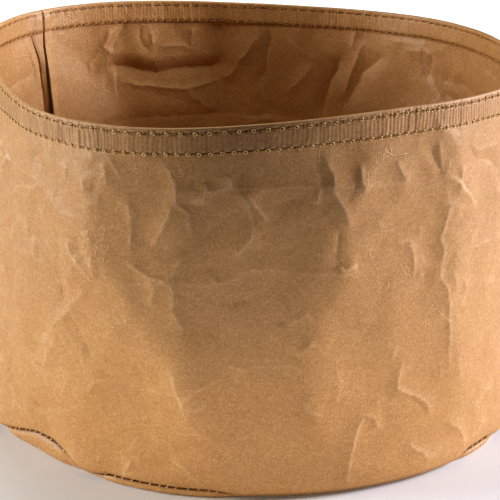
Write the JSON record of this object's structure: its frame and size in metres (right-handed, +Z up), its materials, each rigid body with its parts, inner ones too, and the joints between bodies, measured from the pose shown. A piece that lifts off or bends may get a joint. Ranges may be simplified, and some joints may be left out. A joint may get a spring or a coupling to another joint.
{
  "type": "sewn paper pot bag",
  "caption": "Round open-top planter bag sewn from washable kraft paper, with a hemmed rim, an inside side seam and a sewn-in round base.",
  "frame": {"origin": "centre of the base's underside, on the floor", "axes": "+Z up through the open mouth; the front faces -Y; the side seam is at 139 degrees anticlockwise from +X, seen from above"},
  "size_m": [0.2, 0.2072, 0.1275],
  "materials": {
    "kraft_paper": "satin, creased kraft paper",
    "sewing_thread": "twisted polyester thread"
  },
  "bodies": {
    "root": {"wall_panel": "kraft_paper", "base_panel": "kraft_paper", "rim_upper_needle_thread": "sewing_thread", "rim_upper_bobbin_thread": "sewing_thread", "rim_lower_needle_thread": "sewing_thread", "rim_lower_bobbin_thread": "sewing_thread", "side_seam_needle_thread": "sewing_thread", "side_seam_bobbin_thread": "sewing_thread", "base_seam_needle_thread": "sewing_thread", "base_seam_bobbin_thread": "sewing_thread"}
  },
  "joints": []
}
